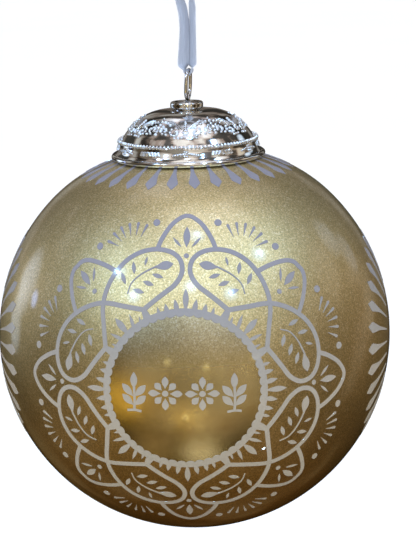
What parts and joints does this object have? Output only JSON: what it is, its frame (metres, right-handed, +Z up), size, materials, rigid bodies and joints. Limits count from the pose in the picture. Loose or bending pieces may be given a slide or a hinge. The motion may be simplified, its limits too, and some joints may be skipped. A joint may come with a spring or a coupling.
{
  "type": "glass ball ornament",
  "caption": "Round hanging glass ball with a painted wreath pattern, pressed metal cap, wire bail clip and a knotted ribbon loop.",
  "frame": {"origin": "inside of the top of the ribbon loop, just under the knot, where a hook or twig holds the ornament", "axes": "+Z up along the ball's axis; the front of the painted pattern faces -Y"},
  "size_m": [0.1, 0.1, 0.1502],
  "materials": {
    "lacquered_glass": "gold pearl lacquer behind clear gloss glass, matte lilac-grey printed pattern",
    "chrome_cap": "bright plated, embossed",
    "bail_wire": "bright plated spring wire",
    "satin_ribbon": "satin"
  },
  "bodies": {
    "ribbon_loop": {"ribbon": "satin_ribbon", "ribbon_knot": "satin_ribbon"},
    "clip": {"wire_clip": "bail_wire"},
    "cap": {"cap_dome": "chrome_cap", "cap_collar": "chrome_cap"},
    "ball": {"glass_ball": "lacquered_glass"}
  },
  "joints": [
    {"name": "bail_swing", "type": "hinge", "parent": "ribbon_loop", "child": "clip", "pos_m": [0.00074, -0.0001, -0.022], "axis": [0.1392, 0.9903, 0], "range_deg": [-60, 60]},
    {"name": "cap_turn", "type": "hinge", "parent": "clip", "child": "cap", "pos_m": [0, 0, -0.0315], "axis": [0, 0, 1], "continuous": true},
    {"name": "ball_pull", "type": "slide", "parent": "cap", "child": "ball", "axis": [0, 0, -1], "range_m": [0, 0.03]}
  ]
}
